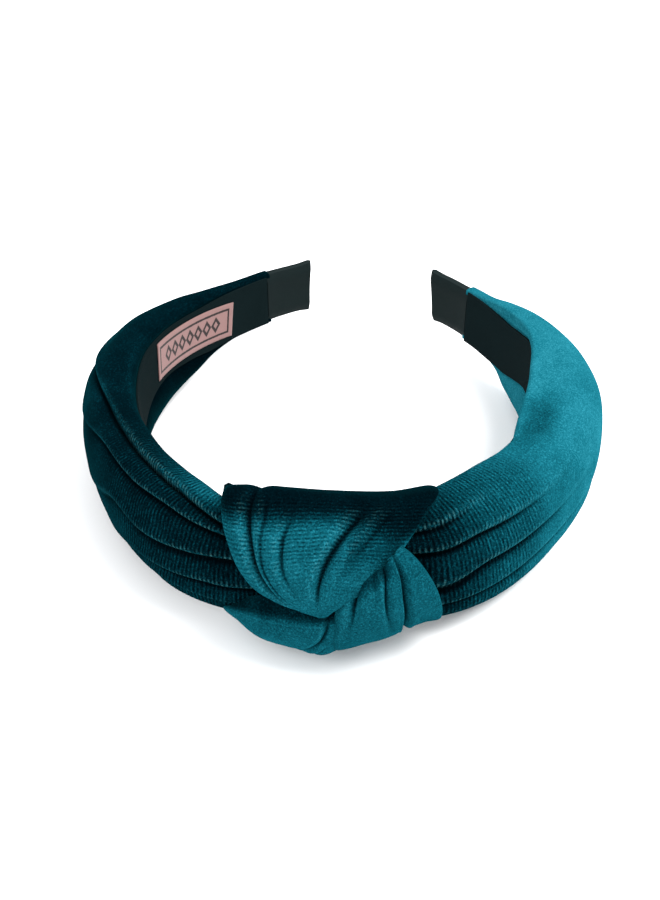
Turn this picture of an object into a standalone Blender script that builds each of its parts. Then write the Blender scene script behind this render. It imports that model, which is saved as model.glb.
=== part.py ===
"""Knotted velvet headband: a springy C-shaped core, lined inside, padded and covered with velvet,
with a knot set to one side of the crown.

The frame: the origin is on the head side of the lining at the crown, +Y runs from the crown
towards the tips, +X to the wearer's one side, +Z is the edge of the band that is up when it lies
on a table. Places on the band are given as s, n and z in millimetres: s is the length along the
inner face from the crown (negative on the left arm), n the distance outward from that face.

Real headbands flex along the whole core. Here the flex is gathered in two hinges hidden under
the knot, so the core, lining and adhesive are each in three lengths with a small gap between.
"""

import math

import bmesh
import bpy
from mathutils import Vector

MM = 0.001

# The inner face seen from above: a short flat at the crown, then two arcs on each side.
FLAT = 3.0
CROWN_RADIUS = 43.1
CROWN_TURN = math.radians(41.2)
ARM_RADIUS = 88.5
ARM_TURN = math.radians(104.6)
CROWN_ARC = CROWN_RADIUS * CROWN_TURN
HALF_LENGTH = FLAT + CROWN_ARC + ARM_RADIUS * ARM_TURN

# Layers outward from the head, and the gap left where two pieces touch.
GAP = 0.3
LINING = (0.0, 0.5)
VELVET = 0.8
MARGIN_INNER = LINING[1] + GAP
CORE = (1.9, 3.7)
FOAM_INNER = CORE[1] + GAP
WRAP = 0.5

# Widths across the band, as half heights.
TIP_HALF = 10.0
CROWN_HALF = 13.5
TAPER_START = 120.0
TAPER_END = 172.0
CORE_INSET = 0.8
MARGIN_EDGE = 7.0
GLUE_HALF = 6.4

# Places along the arms.
HINGE_LEFT = -8.0
HINGE_RIGHT = 30.0
HINGE_GAP = 0.8
TIP_WRAP_LENGTH = 18.5
REST_Z = -20.0

# Each arm's padding along its length: s, bulge outward, upper and lower half height, squareness.
LEFT_PROFILE = ((20.0, 12.5, 16.5, 16.5, 2.3), (50.0, 16.0, 19.0, 20.4, 2.3),
                (95.0, 16.5, 18.0, 20.4, 2.3), (135.0, 12.0, 16.0, 17.5, 2.6),
                (175.0, 5.6, 11.8, 11.8, 4.0))
RIGHT_PROFILE = ((42.0, 14.0, 19.5, 16.5, 2.3), (70.0, 20.0, 21.5, 20.4, 2.3),
                 (108.0, 21.5, 19.5, 20.4, 2.3), (143.0, 15.0, 16.5, 17.5, 2.6),
                 (175.0, 5.6, 11.8, 11.8, 4.0))
SLEEVE_START_LEFT = 9.2
SLEEVE_START_RIGHT = 34.0
SLEEVE_END = 175.0
SLEEVE_SET_BACK = 13.0
SLEEVE_END_SLANT = 9.0
SLEEVE_SET_BACK_LENGTH = 30.0
SLEEVE_SET_BACK_DEPTH = 7.0
SLEEVE_SLANT_START = 145.0
SHOULDER = 0.45
FOAM_SET_BACK = 6.0
FOAM_END = 150.0
FOAM_INNER_SHRINK = 0.93
ARM_STATION = 9.0

# Velvet laid round the core at the crown: bulge, height up, height down, squareness.
CROWN_SIZES = (5.6, 15.0, 15.0, 4.0)

# Knot: cloth thickness, the packed crossing inside it, and the loop of thread.
FOLD_THICKNESS = 3.0
CROSSING_CENTRE = (10.5, -11.8, 1.0)
CROSSING_HALVES = (11.0, 4.6, 11.5)
THREAD_RADIUS = 0.35
THREAD_CENTRE = (-3.6, -6.4, -4.0)
THREAD_WIDTH = 1.6
THREAD_HEIGHT = 9.0

VELVET_DARK = (0.004, 0.05, 0.055)
VELVET_BRIGHT = (0.01, 0.16, 0.19)
RIBBON = (0.012, 0.03, 0.032)
LABEL_PINK = (0.62, 0.36, 0.34)


def clear_scene():
    for item in list(bpy.data.objects):
        bpy.data.objects.remove(item)


def fabric(name, colour, roughness=0.9, metallic=0.0):
    """A Principled material in one colour."""
    material = bpy.data.materials.new(name)
    material.use_nodes = True
    shader = material.node_tree.nodes["Principled BSDF"]
    shader.inputs["Base Color"].default_value = (*colour, 1.0)
    shader.inputs["Roughness"].default_value = roughness
    shader.inputs["Metallic"].default_value = metallic
    return material


def add_object(name, mesh_builder, material):
    """Put the finished bmesh into a named, smooth-shaded object."""
    bmesh.ops.recalc_face_normals(mesh_builder, faces=mesh_builder.faces)
    mesh = bpy.data.meshes.new(name)
    mesh_builder.to_mesh(mesh)
    mesh_builder.free()
    mesh.shade_smooth()
    mesh.set_sharp_from_angle(angle=math.radians(40))
    mesh.materials.append(material)
    piece = bpy.data.objects.new(name, mesh)
    bpy.context.scene.collection.objects.link(piece)
    return piece


def smooth_step(value, start, end):
    part = min(1.0, max(0.0, (value - start) / (end - start)))
    return part * part * (3.0 - 2.0 * part)


def band_point(s, n, z):
    """World position, in metres, of a place on the band."""
    side = 1.0 if s >= 0.0 else -1.0
    reach = abs(s) - FLAT
    if reach <= 0.0:
        x, y, heading = abs(s), 0.0, 0.0
    elif reach <= CROWN_ARC:
        heading = reach / CROWN_RADIUS
        x = FLAT + CROWN_RADIUS * math.sin(heading)
        y = CROWN_RADIUS * (1.0 - math.cos(heading))
    else:
        heading = CROWN_TURN + (reach - CROWN_ARC) / ARM_RADIUS
        x = (FLAT + CROWN_RADIUS * math.sin(CROWN_TURN)
             + ARM_RADIUS * (math.sin(heading) - math.sin(CROWN_TURN)))
        y = (CROWN_RADIUS * (1.0 - math.cos(CROWN_TURN))
             + ARM_RADIUS * (math.cos(CROWN_TURN) - math.cos(heading)))
    x += n * math.sin(heading)
    y -= n * math.cos(heading)
    return Vector((side * x, y, z)) * MM


def stations(start, end, spacing=5.0):
    """Evenly spaced places from start to end, both included."""
    count = max(1, round(abs(end - start) / spacing))
    return [start + (end - start) * step / count for step in range(count + 1)]


def sweep(name, places, section, material, slant=None):
    """Sweep a strip-shaped section along the band into one closed body.

    section(s) gives the outer and the inner edge of the strip, as two lists of (n, z) of equal
    length. slant(s, n, z) moves a point along the band, for ends that are not cut square.
    """
    build = bmesh.new()
    rings = []
    for s in places:
        ring = []
        for edge in section(s):
            row = []
            for n, z in edge:
                moved = s + (slant(s, n, z) if slant else 0.0)
                row.append(build.verts.new(band_point(moved, n, z)))
            ring.append(row)
        rings.append(ring)
    last = len(rings[0][0]) - 1
    for (outer, inner), (next_outer, next_inner) in zip(rings, rings[1:]):
        for i in range(last):
            build.faces.new((outer[i], outer[i + 1], next_outer[i + 1], next_outer[i]))
            build.faces.new((inner[i + 1], inner[i], next_inner[i], next_inner[i + 1]))
        build.faces.new((inner[0], outer[0], next_outer[0], next_inner[0]))
        build.faces.new((outer[last], inner[last], next_inner[last], next_outer[last]))
    for outer, inner in (rings[0], rings[-1]):
        for i in range(last):
            build.faces.new((outer[i], inner[i], inner[i + 1], outer[i + 1]))
    return add_object(name, build, material)


def half_width(s):
    """The lining's half width: tip width at the tips, wider towards the crown."""
    return CROWN_HALF + (TIP_HALF - CROWN_HALF) * smooth_step(abs(s), TAPER_START, TAPER_END)


def bar(layer, half):
    """A section with flat faces at the layer's two distances and half(s) up and down."""
    def section(s):
        reach = half(s)
        return [(layer[1], -reach), (layer[1], reach)], [(layer[0], -reach), (layer[0], reach)]
    return section


def lengths(name, layer, half, end, material):
    """The same strip in three lengths: crown, left arm and right arm."""
    spare = HINGE_GAP / 2.0
    sweep(name + "_crown", crown_places(spare), bar(layer, half), material)
    sweep(name + "_left", stations(HINGE_LEFT - spare, -end), bar(layer, half), material)
    sweep(name + "_right", stations(HINGE_RIGHT + spare, end), bar(layer, half), material)


def crown_places(spare):
    """Places between the hinges, with the flat facet at the crown kept whole."""
    left = stations(HINGE_LEFT + spare, -FLAT)
    return left + stations(FLAT, HINGE_RIGHT - spare)


def profile_at(profile, s):
    """The padding's sizes at a place on one arm, eased between the profile's own places."""
    place = min(max(abs(s), profile[0][0]), profile[-1][0])
    for low, high in zip(profile, profile[1:]):
        if place <= high[0]:
            part = smooth_step(place, low[0], high[0])
            return [a + (b - a) * part for a, b in zip(low[1:], high[1:])]
    return list(profile[-1][1:])


def padded_outline(sizes, shrink, inner_n, flat_half, steps=6):
    """Half of a D-shaped outline for each of top and bottom, from the inner face round outside.

    Outside the shoulders the outline is a rounded square corner, inside them a quarter ellipse
    down to the flat that lies against the head.
    """
    bulge, top, bottom, power = sizes
    shoulder = SHOULDER * bulge
    outline = []
    for height, side in ((top - shrink, 1.0), (bottom - shrink, -1.0)):
        half = []
        for step in range(steps):
            angle = 0.5 * math.pi * step / steps
            n = shoulder - (shoulder - inner_n) * math.cos(angle)
            z = flat_half + (height - flat_half) * math.sin(angle)
            half.append((n, side * z))
        for step in range(steps + 1):
            angle = 0.5 * math.pi * step / steps
            n = shoulder + (bulge - shrink - shoulder) * math.sin(angle) ** (2.0 / power)
            z = height * math.cos(angle) ** (2.0 / power)
            half.append((n, side * z))
        outline.append(half)
    upper, lower = outline
    points = upper + lower[-2::-1]
    return [(n, max(z, REST_Z + shrink)) for n, z in points]


def sleeve_section(profile):
    """Velvet with its margins turned in behind the lining."""
    def section(s):
        sizes = profile_at(profile, s)
        flat = half_width(s) - CORE_INSET + GAP
        outer = padded_outline(sizes, 0.0, MARGIN_INNER, flat)
        inner = padded_outline(sizes, VELVET, MARGIN_INNER + VELVET, flat)
        outer = [(MARGIN_INNER, MARGIN_EDGE), *outer, (MARGIN_INNER, -MARGIN_EDGE)]
        return outer, [(MARGIN_INNER + VELVET, MARGIN_EDGE), *inner,
                       (MARGIN_INNER + VELVET, -MARGIN_EDGE)]
    return section


def sleeve_slant(side, start):
    """Set the knot end back outside the core, so an opened arm clears the knot, and cut the
    tip end on a slant, longer along the top edge."""
    def slant(s, n, z):
        place = abs(s)
        knot_end = 1.0 - smooth_step(place, start, start + SLEEVE_SET_BACK_LENGTH)
        tip_end = smooth_step(place, SLEEVE_SLANT_START, SLEEVE_END)
        back = SLEEVE_SET_BACK * knot_end * smooth_step(n, CORE[0], SLEEVE_SET_BACK_DEPTH)
        cut = SLEEVE_END_SLANT * tip_end * (z / TIP_HALF - 1.0) / 2.0
        return side * (back + cut)
    return slant


def add_sleeves(left_velvet, right_velvet):
    sweep("velvet_sleeve_left", stations(-SLEEVE_START_LEFT, -SLEEVE_END, ARM_STATION),
          sleeve_section(LEFT_PROFILE), left_velvet, sleeve_slant(-1.0, SLEEVE_START_LEFT))
    sweep("velvet_sleeve_right", stations(SLEEVE_START_RIGHT, SLEEVE_END, ARM_STATION),
          sleeve_section(RIGHT_PROFILE), right_velvet, sleeve_slant(1.0, SLEEVE_START_RIGHT))


def foam_section(profile):
    """A D of foam filling the sleeve outside the core."""
    def section(s):
        sizes = profile_at(profile, s)
        bulge, top, bottom, power = sizes
        shrink = VELVET + 3.0 * GAP
        shoulder = SHOULDER * bulge
        outer = []
        steps = 10
        for step in range(-steps, steps + 1):
            angle = 0.5 * math.pi * step / steps
            height = (top if step < 0 else bottom) - shrink
            n = max(FOAM_INNER, shoulder) + (bulge - shrink - max(FOAM_INNER, shoulder)) * (
                math.cos(angle) ** (2.0 / power))
            z = -math.copysign(height * abs(math.sin(angle)) ** (2.0 / power), angle)
            outer.append((n, max(z, REST_Z + shrink)))
        inner = [(FOAM_INNER, z * FOAM_INNER_SHRINK) for _, z in outer]
        return outer, inner
    return section


def add_foam(material):
    for name, profile, side, velvet_start in (
            ("foam_pad_left", LEFT_PROFILE, -1.0, SLEEVE_START_LEFT),
            ("foam_pad_right", RIGHT_PROFILE, 1.0, SLEEVE_START_RIGHT)):
        start = velvet_start + FOAM_SET_BACK
        sweep(name, stations(side * start, side * FOAM_END, ARM_STATION),
              foam_section(profile), material, sleeve_slant(side, velvet_start))


def add_cutter(name, places, section):
    """A hidden solid that a Boolean takes away from another piece."""
    cutter = sweep(name, places, section, fabric(name, (1.0, 1.0, 1.0)))
    hide_tool(cutter)
    return cutter


def hide_tool(piece):
    piece.hide_render = True
    piece.display_type = "WIRE"


def cut(piece, cutter):
    """Take the cutter's solid away from the piece."""
    change = piece.modifiers.new("cut_by_" + cutter.name, "BOOLEAN")
    change.operation = "DIFFERENCE"
    change.solver = "EXACT"
    change.object = cutter


def add_tip_wraps(material):
    """Ribbon pockets folded over both ends of the core, open towards the crown."""
    outside = (0.0, FOAM_INNER + WRAP)
    inside = (WRAP, FOAM_INNER)
    for name, side in (("tip_wrap_left", -1.0), ("tip_wrap_right", 1.0)):
        mouth = HALF_LENGTH - TIP_WRAP_LENGTH
        pocket = sweep(name, stations(side * mouth, side * HALF_LENGTH, 3.0),
                       bar(outside, lambda s: TIP_HALF), material)
        room = add_cutter(name + "_room",
                          stations(side * (mouth - 1.0), side * (HALF_LENGTH - WRAP), 3.0),
                          bar(inside, lambda s: TIP_HALF - WRAP))
        cut(pocket, room)


def add_label(material):
    """A small woven label on the left arm's lining, tilted up towards the crown."""
    middle_s, length, half, thickness = -140.2, 47.5, 7.2, 0.4
    tilt = math.radians(-8.5)

    def centre_z(s):
        return 2.6 + (abs(s) - abs(middle_s)) * math.tan(tilt)

    def section(s):
        edge = [-half, 0.0, half]
        outer = [(-GAP, centre_z(s) + z / math.cos(tilt)) for z in edge]
        return outer, [(n - thickness, z) for n, z in outer]

    def slant(s, _, z):
        return (z - centre_z(s)) * math.tan(tilt)

    ends = length / 2.0 * math.cos(tilt)
    sweep("label", stations(middle_s + ends, middle_s - ends), section, material, slant)


def add_crown_velvet(material):
    """Velvet laid round the core behind the knot."""
    def section(s):
        flat = half_width(s) - CORE_INSET + GAP
        outer = padded_outline(CROWN_SIZES, 0.0, MARGIN_INNER, flat, 4)
        inner = padded_outline(CROWN_SIZES, VELVET, MARGIN_INNER + VELVET, flat, 4)
        return ([(MARGIN_INNER, MARGIN_EDGE), *outer, (MARGIN_INNER, -MARGIN_EDGE)],
                [(MARGIN_INNER + VELVET, MARGIN_EDGE), *inner,
                 (MARGIN_INNER + VELVET, -MARGIN_EDGE)])

    sweep("velvet_crown", crown_places(HINGE_GAP), section, material)


def add_fold(name, rows, material):
    """One turn of the knot: a coarse net of points, smoothed, then thickened inward."""
    build = bmesh.new()
    net = [[build.verts.new(Vector(point) * MM) for point in row] for row in rows]
    for row, below in zip(net, net[1:]):
        for i in range(len(row) - 1):
            build.faces.new((row[i], below[i], below[i + 1], row[i + 1]))
    mesh = bpy.data.meshes.new(name)
    build.to_mesh(mesh)
    build.free()
    mesh.shade_smooth()
    mesh.materials.append(material)
    piece = bpy.data.objects.new(name, mesh)
    bpy.context.scene.collection.objects.link(piece)
    smooth = piece.modifiers.new("smooth", "SUBSURF")
    smooth.levels = smooth.render_levels = 2
    thick = piece.modifiers.new("thickness", "SOLIDIFY")
    thick.thickness = FOLD_THICKNESS * MM
    thick.offset = -1.0
    thick.use_even_offset = False
    return piece


def swollen_copy(piece):
    """A hidden copy that stands one gap proud of the piece, to cut its neighbours with."""
    copy = piece.copy()
    copy.name = piece.name + "_room"
    bpy.context.scene.collection.objects.link(copy)
    swell = copy.modifiers.new("swell", "DISPLACE")
    swell.strength = GAP * 1.2 * MM
    swell.mid_level = 0.0
    hide_tool(copy)
    return copy


def add_ground_cutter():
    """Everything below the surface the headband lies on, under the knot."""
    width, length, depth, middle_y = 120.0, 90.0, 10.0, -10.0
    build = bmesh.new()
    bmesh.ops.create_cube(build, size=1.0)
    for vert in build.verts:
        vert.co = Vector((vert.co.x * width, vert.co.y * length + middle_y,
                          REST_Z + (vert.co.z - 0.5) * depth)) * MM
    piece = add_object("ground_room", build, fabric("ground_room", (1.0, 1.0, 1.0)))
    hide_tool(piece)
    return piece


def add_knot(dark, bright):
    """Two lower folds that wrap under the band, an upper fan that comes over its top and is
    caught between them, and the crossing inside."""
    upper = add_fold("knot_upper_fold", (
        ((-12.5, 1.0, 16.4), (-2.0, -0.6, 16.4), (10.0, 0.0, 16.4), (24.0, 4.0, 16.4),
         (32.5, 8.0, 17.0)),
        ((-15.8, 1.4, 21.5), (-3.0, -0.6, 24.5), (10.0, 0.0, 25.5), (25.0, 3.6, 26.0),
         (38.5, 7.5, 24.5)),
        ((-14.5, -6.0, 21.0), (-3.0, -7.6, 26.2), (10.0, -8.0, 27.0), (23.5, -5.5, 27.5),
         (34.0, -4.0, 25.0)),
        ((-12.0, -13.0, 14.0), (-2.0, -17.0, 18.0), (9.5, -19.0, 19.5), (20.0, -16.5, 20.0),
         (28.0, -11.0, 20.5)),
        ((-2.0, -17.5, 7.5), (3.5, -20.5, 9.5), (10.5, -22.5, 10.0), (17.0, -20.5, 11.5),
         (21.5, -17.5, 14.0)),
        ((7.0, -19.0, 2.5), (9.5, -20.5, 3.0), (12.0, -21.5, 3.2), (14.5, -20.5, 4.0),
         (16.5, -19.0, 5.0)),
    ), dark)
    left = add_fold("knot_lower_left_fold", (
        ((-14.5, -8.0, -2.5), (-16.5, -11.0, -7.0), (-16.0, -10.5, -12.0),
         (-14.5, -6.5, -15.8), (-12.5, -1.0, -17.0)),
        ((-8.0, -13.0, 0.5), (-9.0, -17.0, -4.5), (-8.5, -16.5, -13.0),
         (-7.5, -10.0, -18.8), (-7.0, -1.5, -17.8)),
        ((2.5, -16.5, 2.5), (3.0, -21.5, -2.5), (3.0, -20.5, -13.5),
         (3.0, -12.5, -21.4), (3.0, -1.8, -18.6)),
        ((14.0, -17.5, 2.0), (15.0, -22.0, -3.0), (15.0, -21.0, -13.0),
         (14.5, -12.5, -21.0), (12.5, -1.2, -18.6)),
        ((19.0, -16.0, 1.0), (19.5, -20.0, -4.0), (19.0, -19.0, -12.5),
         (18.0, -11.5, -19.0), (16.0, -0.6, -18.0)),
    ), bright)
    right = add_fold("knot_lower_right_fold", (
        ((13.0, -15.0, 4.0), (14.5, -19.5, -2.0), (15.0, -18.0, -11.0),
         (15.0, -10.0, -17.0), (15.0, 0.2, -16.6)),
        ((18.5, -16.5, 8.0), (21.0, -21.5, 0.0), (22.0, -20.5, -10.5),
         (21.5, -11.0, -19.4), (20.0, 1.2, -18.0)),
        ((24.0, -13.5, 14.0), (28.0, -18.0, 6.0), (29.5, -16.5, -5.5),
         (28.0, -8.0, -15.4), (26.0, 4.0, -16.6)),
        ((30.0, -9.0, 21.0), (35.5, -12.5, 11.5), (38.5, -10.5, 0.5),
         (37.0, -3.0, -10.5), (33.0, 7.0, -15.8)),
    ), bright)
    ground = add_ground_cutter()
    cut(left, ground)
    cut(right, ground)
    cut(left, swollen_copy(upper))
    cut(right, swollen_copy(upper))
    cut(right, swollen_copy(left))
    add_inner_fold(dark)


def add_inner_fold(material):
    """The crossing of the two velvet strips, packed inside the knot."""
    build = bmesh.new()
    bmesh.ops.create_uvsphere(build, u_segments=20, v_segments=12, radius=1.0)
    for vert in build.verts:
        vert.co = Vector([middle + half * along for middle, half, along
                          in zip(CROSSING_CENTRE, CROSSING_HALVES, vert.co)]) * MM
    add_object("knot_inner_fold", build, material)


def add_tack_thread(material):
    """The loop of thread that holds the knot's crossing to the velvet behind it."""
    route = bpy.data.curves.new("knot_tack_thread", "CURVE")
    route.dimensions = "3D"
    route.bevel_depth = THREAD_RADIUS * MM
    route.bevel_resolution = 2
    route.use_fill_caps = True
    line = route.splines.new("POLY")
    turns = 12
    line.points.add(turns)
    x, y, z = THREAD_CENTRE
    for index, point in enumerate(line.points):
        angle = math.pi * index / turns
        place = Vector((x + THREAD_WIDTH * math.cos(angle), y, z + THREAD_HEIGHT * math.sin(angle)))
        point.co = (*(place * MM), 1.0)
    piece = bpy.data.objects.new("knot_tack_thread", route)
    route.materials.append(material)
    bpy.context.scene.collection.objects.link(piece)


def main():
    clear_scene()
    dark = fabric("velvet_dark", VELVET_DARK)
    bright = fabric("velvet_bright", VELVET_BRIGHT)
    ribbon = fabric("lining_ribbon", RIBBON, 0.7)
    lengths("core", CORE, lambda s: half_width(s) - CORE_INSET,
            HALF_LENGTH - WRAP - GAP, fabric("core_plastic", (0.02, 0.02, 0.02), 0.5))
    lengths("lining", LINING, half_width, HALF_LENGTH - TIP_WRAP_LENGTH - GAP, ribbon)
    lengths("glue_strip", (MARGIN_INNER, CORE[0] - GAP), lambda s: GLUE_HALF,
            HALF_LENGTH - WRAP - GAP, fabric("adhesive", (0.7, 0.65, 0.5), 0.4))
    add_foam(fabric("foam", (0.75, 0.73, 0.66), 0.95))
    add_sleeves(dark, bright)
    add_crown_velvet(dark)
    add_tip_wraps(ribbon)
    add_label(fabric("label_weave", LABEL_PINK, 0.8))
    add_knot(dark, bright)
    add_tack_thread(fabric("thread", (0.01, 0.06, 0.07), 0.8))


main()
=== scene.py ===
"""Looks of the knotted velvet headband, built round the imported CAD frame.

Lengths are in millimetres until a mesh is made. Places on the band are s along the inner face
from the crown (negative on the left arm), n outward from that face, and z up.
"""

import math

import bpy
import numpy as np
from mathutils import Matrix, Vector


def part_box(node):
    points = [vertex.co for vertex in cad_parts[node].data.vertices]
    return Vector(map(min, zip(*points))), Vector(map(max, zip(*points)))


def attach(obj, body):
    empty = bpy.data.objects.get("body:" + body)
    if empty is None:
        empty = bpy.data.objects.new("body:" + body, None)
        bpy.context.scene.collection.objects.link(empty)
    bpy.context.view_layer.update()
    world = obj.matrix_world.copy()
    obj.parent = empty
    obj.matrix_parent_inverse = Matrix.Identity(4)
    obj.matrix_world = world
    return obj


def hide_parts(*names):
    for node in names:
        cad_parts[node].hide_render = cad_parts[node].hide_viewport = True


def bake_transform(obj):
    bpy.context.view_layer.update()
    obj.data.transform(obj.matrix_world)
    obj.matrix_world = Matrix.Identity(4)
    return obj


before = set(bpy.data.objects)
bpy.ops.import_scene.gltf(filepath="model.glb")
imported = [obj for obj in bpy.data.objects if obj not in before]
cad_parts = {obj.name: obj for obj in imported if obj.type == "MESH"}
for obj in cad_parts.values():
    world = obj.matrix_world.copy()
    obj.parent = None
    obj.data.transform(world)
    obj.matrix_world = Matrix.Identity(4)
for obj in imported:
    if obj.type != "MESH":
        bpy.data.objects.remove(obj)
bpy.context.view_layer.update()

MM = 0.001
WOBBLE_WAVES = 7

# The band's inner face from above, as in the CAD.
FLAT = 3.0
CROWN_RADIUS = 43.1
CROWN_TURN = math.radians(41.2)
ARM_RADIUS = 88.5
ARM_TURN = math.radians(104.6)
CROWN_ARC = CROWN_RADIUS * CROWN_TURN
HALF_LENGTH = FLAT + CROWN_ARC + ARM_RADIUS * ARM_TURN
REST_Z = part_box("knot_lower_left_fold")[0].z / MM

# Hinge places along the band, where the arms turn, and the core's middle outward from the face.
HINGE_LEFT = -8.0
HINGE_RIGHT = 30.0
HINGE_DEPTH = 2.8
KNOT_MIDDLE = 11.0

# Half widths of the lining ribbon at the tips and at the crown, and the length of a tip wrap on
# the core and past its end.
TIP_HALF = 10.0
TIP_WRAP_LENGTH = 18.5
TIP_OVERHANG = 0.8

# Cloth stays this far above the surface that the band stands on.
REST_CLEARANCE = 0.1

# How far to each side of a hinge a bend would reach; the pieces are not bent.
SLEEVE_BLEND = 7.0
LINING_BLEND = 5.0


# ---------------------------------------------------------------- shape helpers

def smooth(value, start, end):
    """0 before start, 1 past end, and an easy rise between them."""
    part = np.clip((np.asarray(value, float) - start) / (end - start), 0.0, 1.0)
    return part * part * (3.0 - 2.0 * part)


def bump_at(value, centre, width):
    """A bell of height 1 at centre."""
    return np.exp(-((np.asarray(value, float) - centre) / width) ** 2)


def along_keys(keys, places):
    """Smooth values through given keys (place, value, ...), monotone between them."""
    table = np.array(keys, float)
    x, y = table[:, 0], table[:, 1:]
    steps = np.diff(x)
    rise = np.diff(y, axis=0) / steps[:, None]
    slope = np.zeros_like(y)
    slope[0], slope[-1] = rise[0], rise[-1]
    for i in range(1, len(x) - 1):
        same = rise[i - 1] * rise[i] > 0.0
        slope[i] = np.where(same, 2.0 * rise[i - 1] * rise[i]
                            / np.where(same, rise[i - 1] + rise[i], 1.0), 0.0)
    places = np.clip(places, x[0], x[-1])
    cell = np.clip(np.searchsorted(x, places) - 1, 0, len(x) - 2)
    t = ((places - x[cell]) / steps[cell])[:, None]
    h = steps[cell][:, None]
    return ((1 + 2 * t) * (1 - t) ** 2 * y[cell] + t * (1 - t) ** 2 * h * slope[cell]
            + t * t * (3 - 2 * t) * y[cell + 1] + t * t * (t - 1) * h * slope[cell + 1])


def band_points(s, n, z):
    """Points, in millimetres, for arrays of band places."""
    s, n, z = np.broadcast_arrays(np.asarray(s, float), np.asarray(n, float),
                                  np.asarray(z, float))
    side = np.where(s >= 0.0, 1.0, -1.0)
    reach = np.abs(s) - FLAT
    crown = np.clip(reach, 0.0, CROWN_ARC) / CROWN_RADIUS
    arm = np.clip(reach - CROWN_ARC, 0.0, None) / ARM_RADIUS
    heading = crown + arm
    x = (np.minimum(np.abs(s), FLAT) + CROWN_RADIUS * np.sin(crown)
         + ARM_RADIUS * (np.sin(heading) - np.sin(crown)))
    y = (CROWN_RADIUS * (1.0 - np.cos(crown))
         + ARM_RADIUS * (np.cos(crown) - np.cos(heading)))
    x = x + n * np.sin(heading)
    y = y - n * np.cos(heading)
    return np.stack([side * x, y, z], axis=-1)


def curve_through(knots, values, places):
    """A smooth curve through values (first axis) set at the knots, read at the places."""
    knots, values = np.asarray(knots, float), np.asarray(values, float)
    steps = np.diff(knots).reshape((-1,) + (1,) * (values.ndim - 1))
    rise = np.diff(values, axis=0) / steps
    slope = np.concatenate([rise[:1], (rise[:-1] * steps[1:] + rise[1:] * steps[:-1])
                            / (steps[:-1] + steps[1:]), rise[-1:]])
    cell = np.clip(np.searchsorted(knots, places) - 1, 0, len(knots) - 2)
    h = steps[cell]
    t = (np.asarray(places) - knots[cell]).reshape((-1,) + (1,) * (values.ndim - 1)) / h
    return ((1 + 2 * t) * (1 - t) ** 2 * values[cell] + t * (1 - t) ** 2 * h * slope[cell]
            + t * t * (3 - 2 * t) * values[cell + 1] + t * t * (t - 1) * h * slope[cell + 1])


def normals_of(points):
    """Unit normals of a grid of points (rows, columns, 3)."""
    normal = np.cross(np.gradient(points, axis=0), np.gradient(points, axis=1))
    return normal / np.maximum(np.linalg.norm(normal, axis=2, keepdims=True), 1e-9)


def above_rest(points):
    """Keep points from sinking into the surface that the band stands on."""
    points[..., 2] = np.maximum(points[..., 2], REST_Z + REST_CLEARANCE)


def wobble(x, y, seed):
    """A smooth made-up unevenness, the same every run."""
    rng = np.random.default_rng(seed)
    total = np.zeros(np.broadcast(x, y).shape)
    for _ in range(WOBBLE_WAVES):
        kx, ky = rng.normal(0.0, 1.0, 2)
        phase = rng.uniform(0.0, 2.0 * math.pi)
        total = total + np.sin(kx * x + ky * y + phase)
    return total / WOBBLE_WAVES


def make_object(name, points, faces, uv_faces, masks, material):
    """A smooth-shaded mesh from points in millimetres."""
    mesh = bpy.data.meshes.new(name)
    mesh.from_pydata((np.asarray(points) * MM).tolist(), [], faces)
    layer = mesh.uv_layers.new(name="cloth")
    layer.data.foreach_set("uv", np.asarray(uv_faces, np.float32).ravel())
    for mask, values in masks.items():
        attribute = mesh.attributes.new(mask, "FLOAT", "POINT")
        attribute.data.foreach_set("value", np.asarray(values, np.float32).ravel())
    mesh.shade_smooth()
    mesh.materials.append(material)
    piece = bpy.data.objects.new(name, mesh)
    bpy.context.scene.collection.objects.link(piece)
    return piece


def cloth_grid(name, points, uv, masks, material, closed=False):
    """A grid of cloth. A closed grid joins its last column to its first and gets end caps;
    uv then has one column more than points."""
    rows, columns = points.shape[:2]
    faces, uv_faces = [], []
    spans = columns if closed else columns - 1
    for i in range(rows - 1):
        for j in range(spans):
            k = (j + 1) % columns
            faces.append((i * columns + j, (i + 1) * columns + j,
                          (i + 1) * columns + k, i * columns + k))
            uv_faces += [uv[i, j], uv[i + 1, j], uv[i + 1, j + 1], uv[i, j + 1]]
    if closed:
        faces.append(tuple(range(columns)))
        uv_faces += [uv[0, j] for j in range(columns)]
        faces.append(tuple((rows - 1) * columns + j for j in reversed(range(columns))))
        uv_faces += [uv[-1, j] for j in reversed(range(columns))]
    flat = {key: np.broadcast_to(value, (rows, columns)) for key, value in masks.items()}
    return make_object(name, points.reshape(-1, 3), faces, uv_faces, flat, material)


def thicken(piece, thickness):
    """Give a single sheet of cloth its thickness, on the side away from its normals."""
    change = piece.modifiers.new("thickness", "SOLIDIFY")
    change.thickness = thickness * MM
    change.offset = -1.0
    return piece


# ---------------------------------------------------------------- materials

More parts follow.
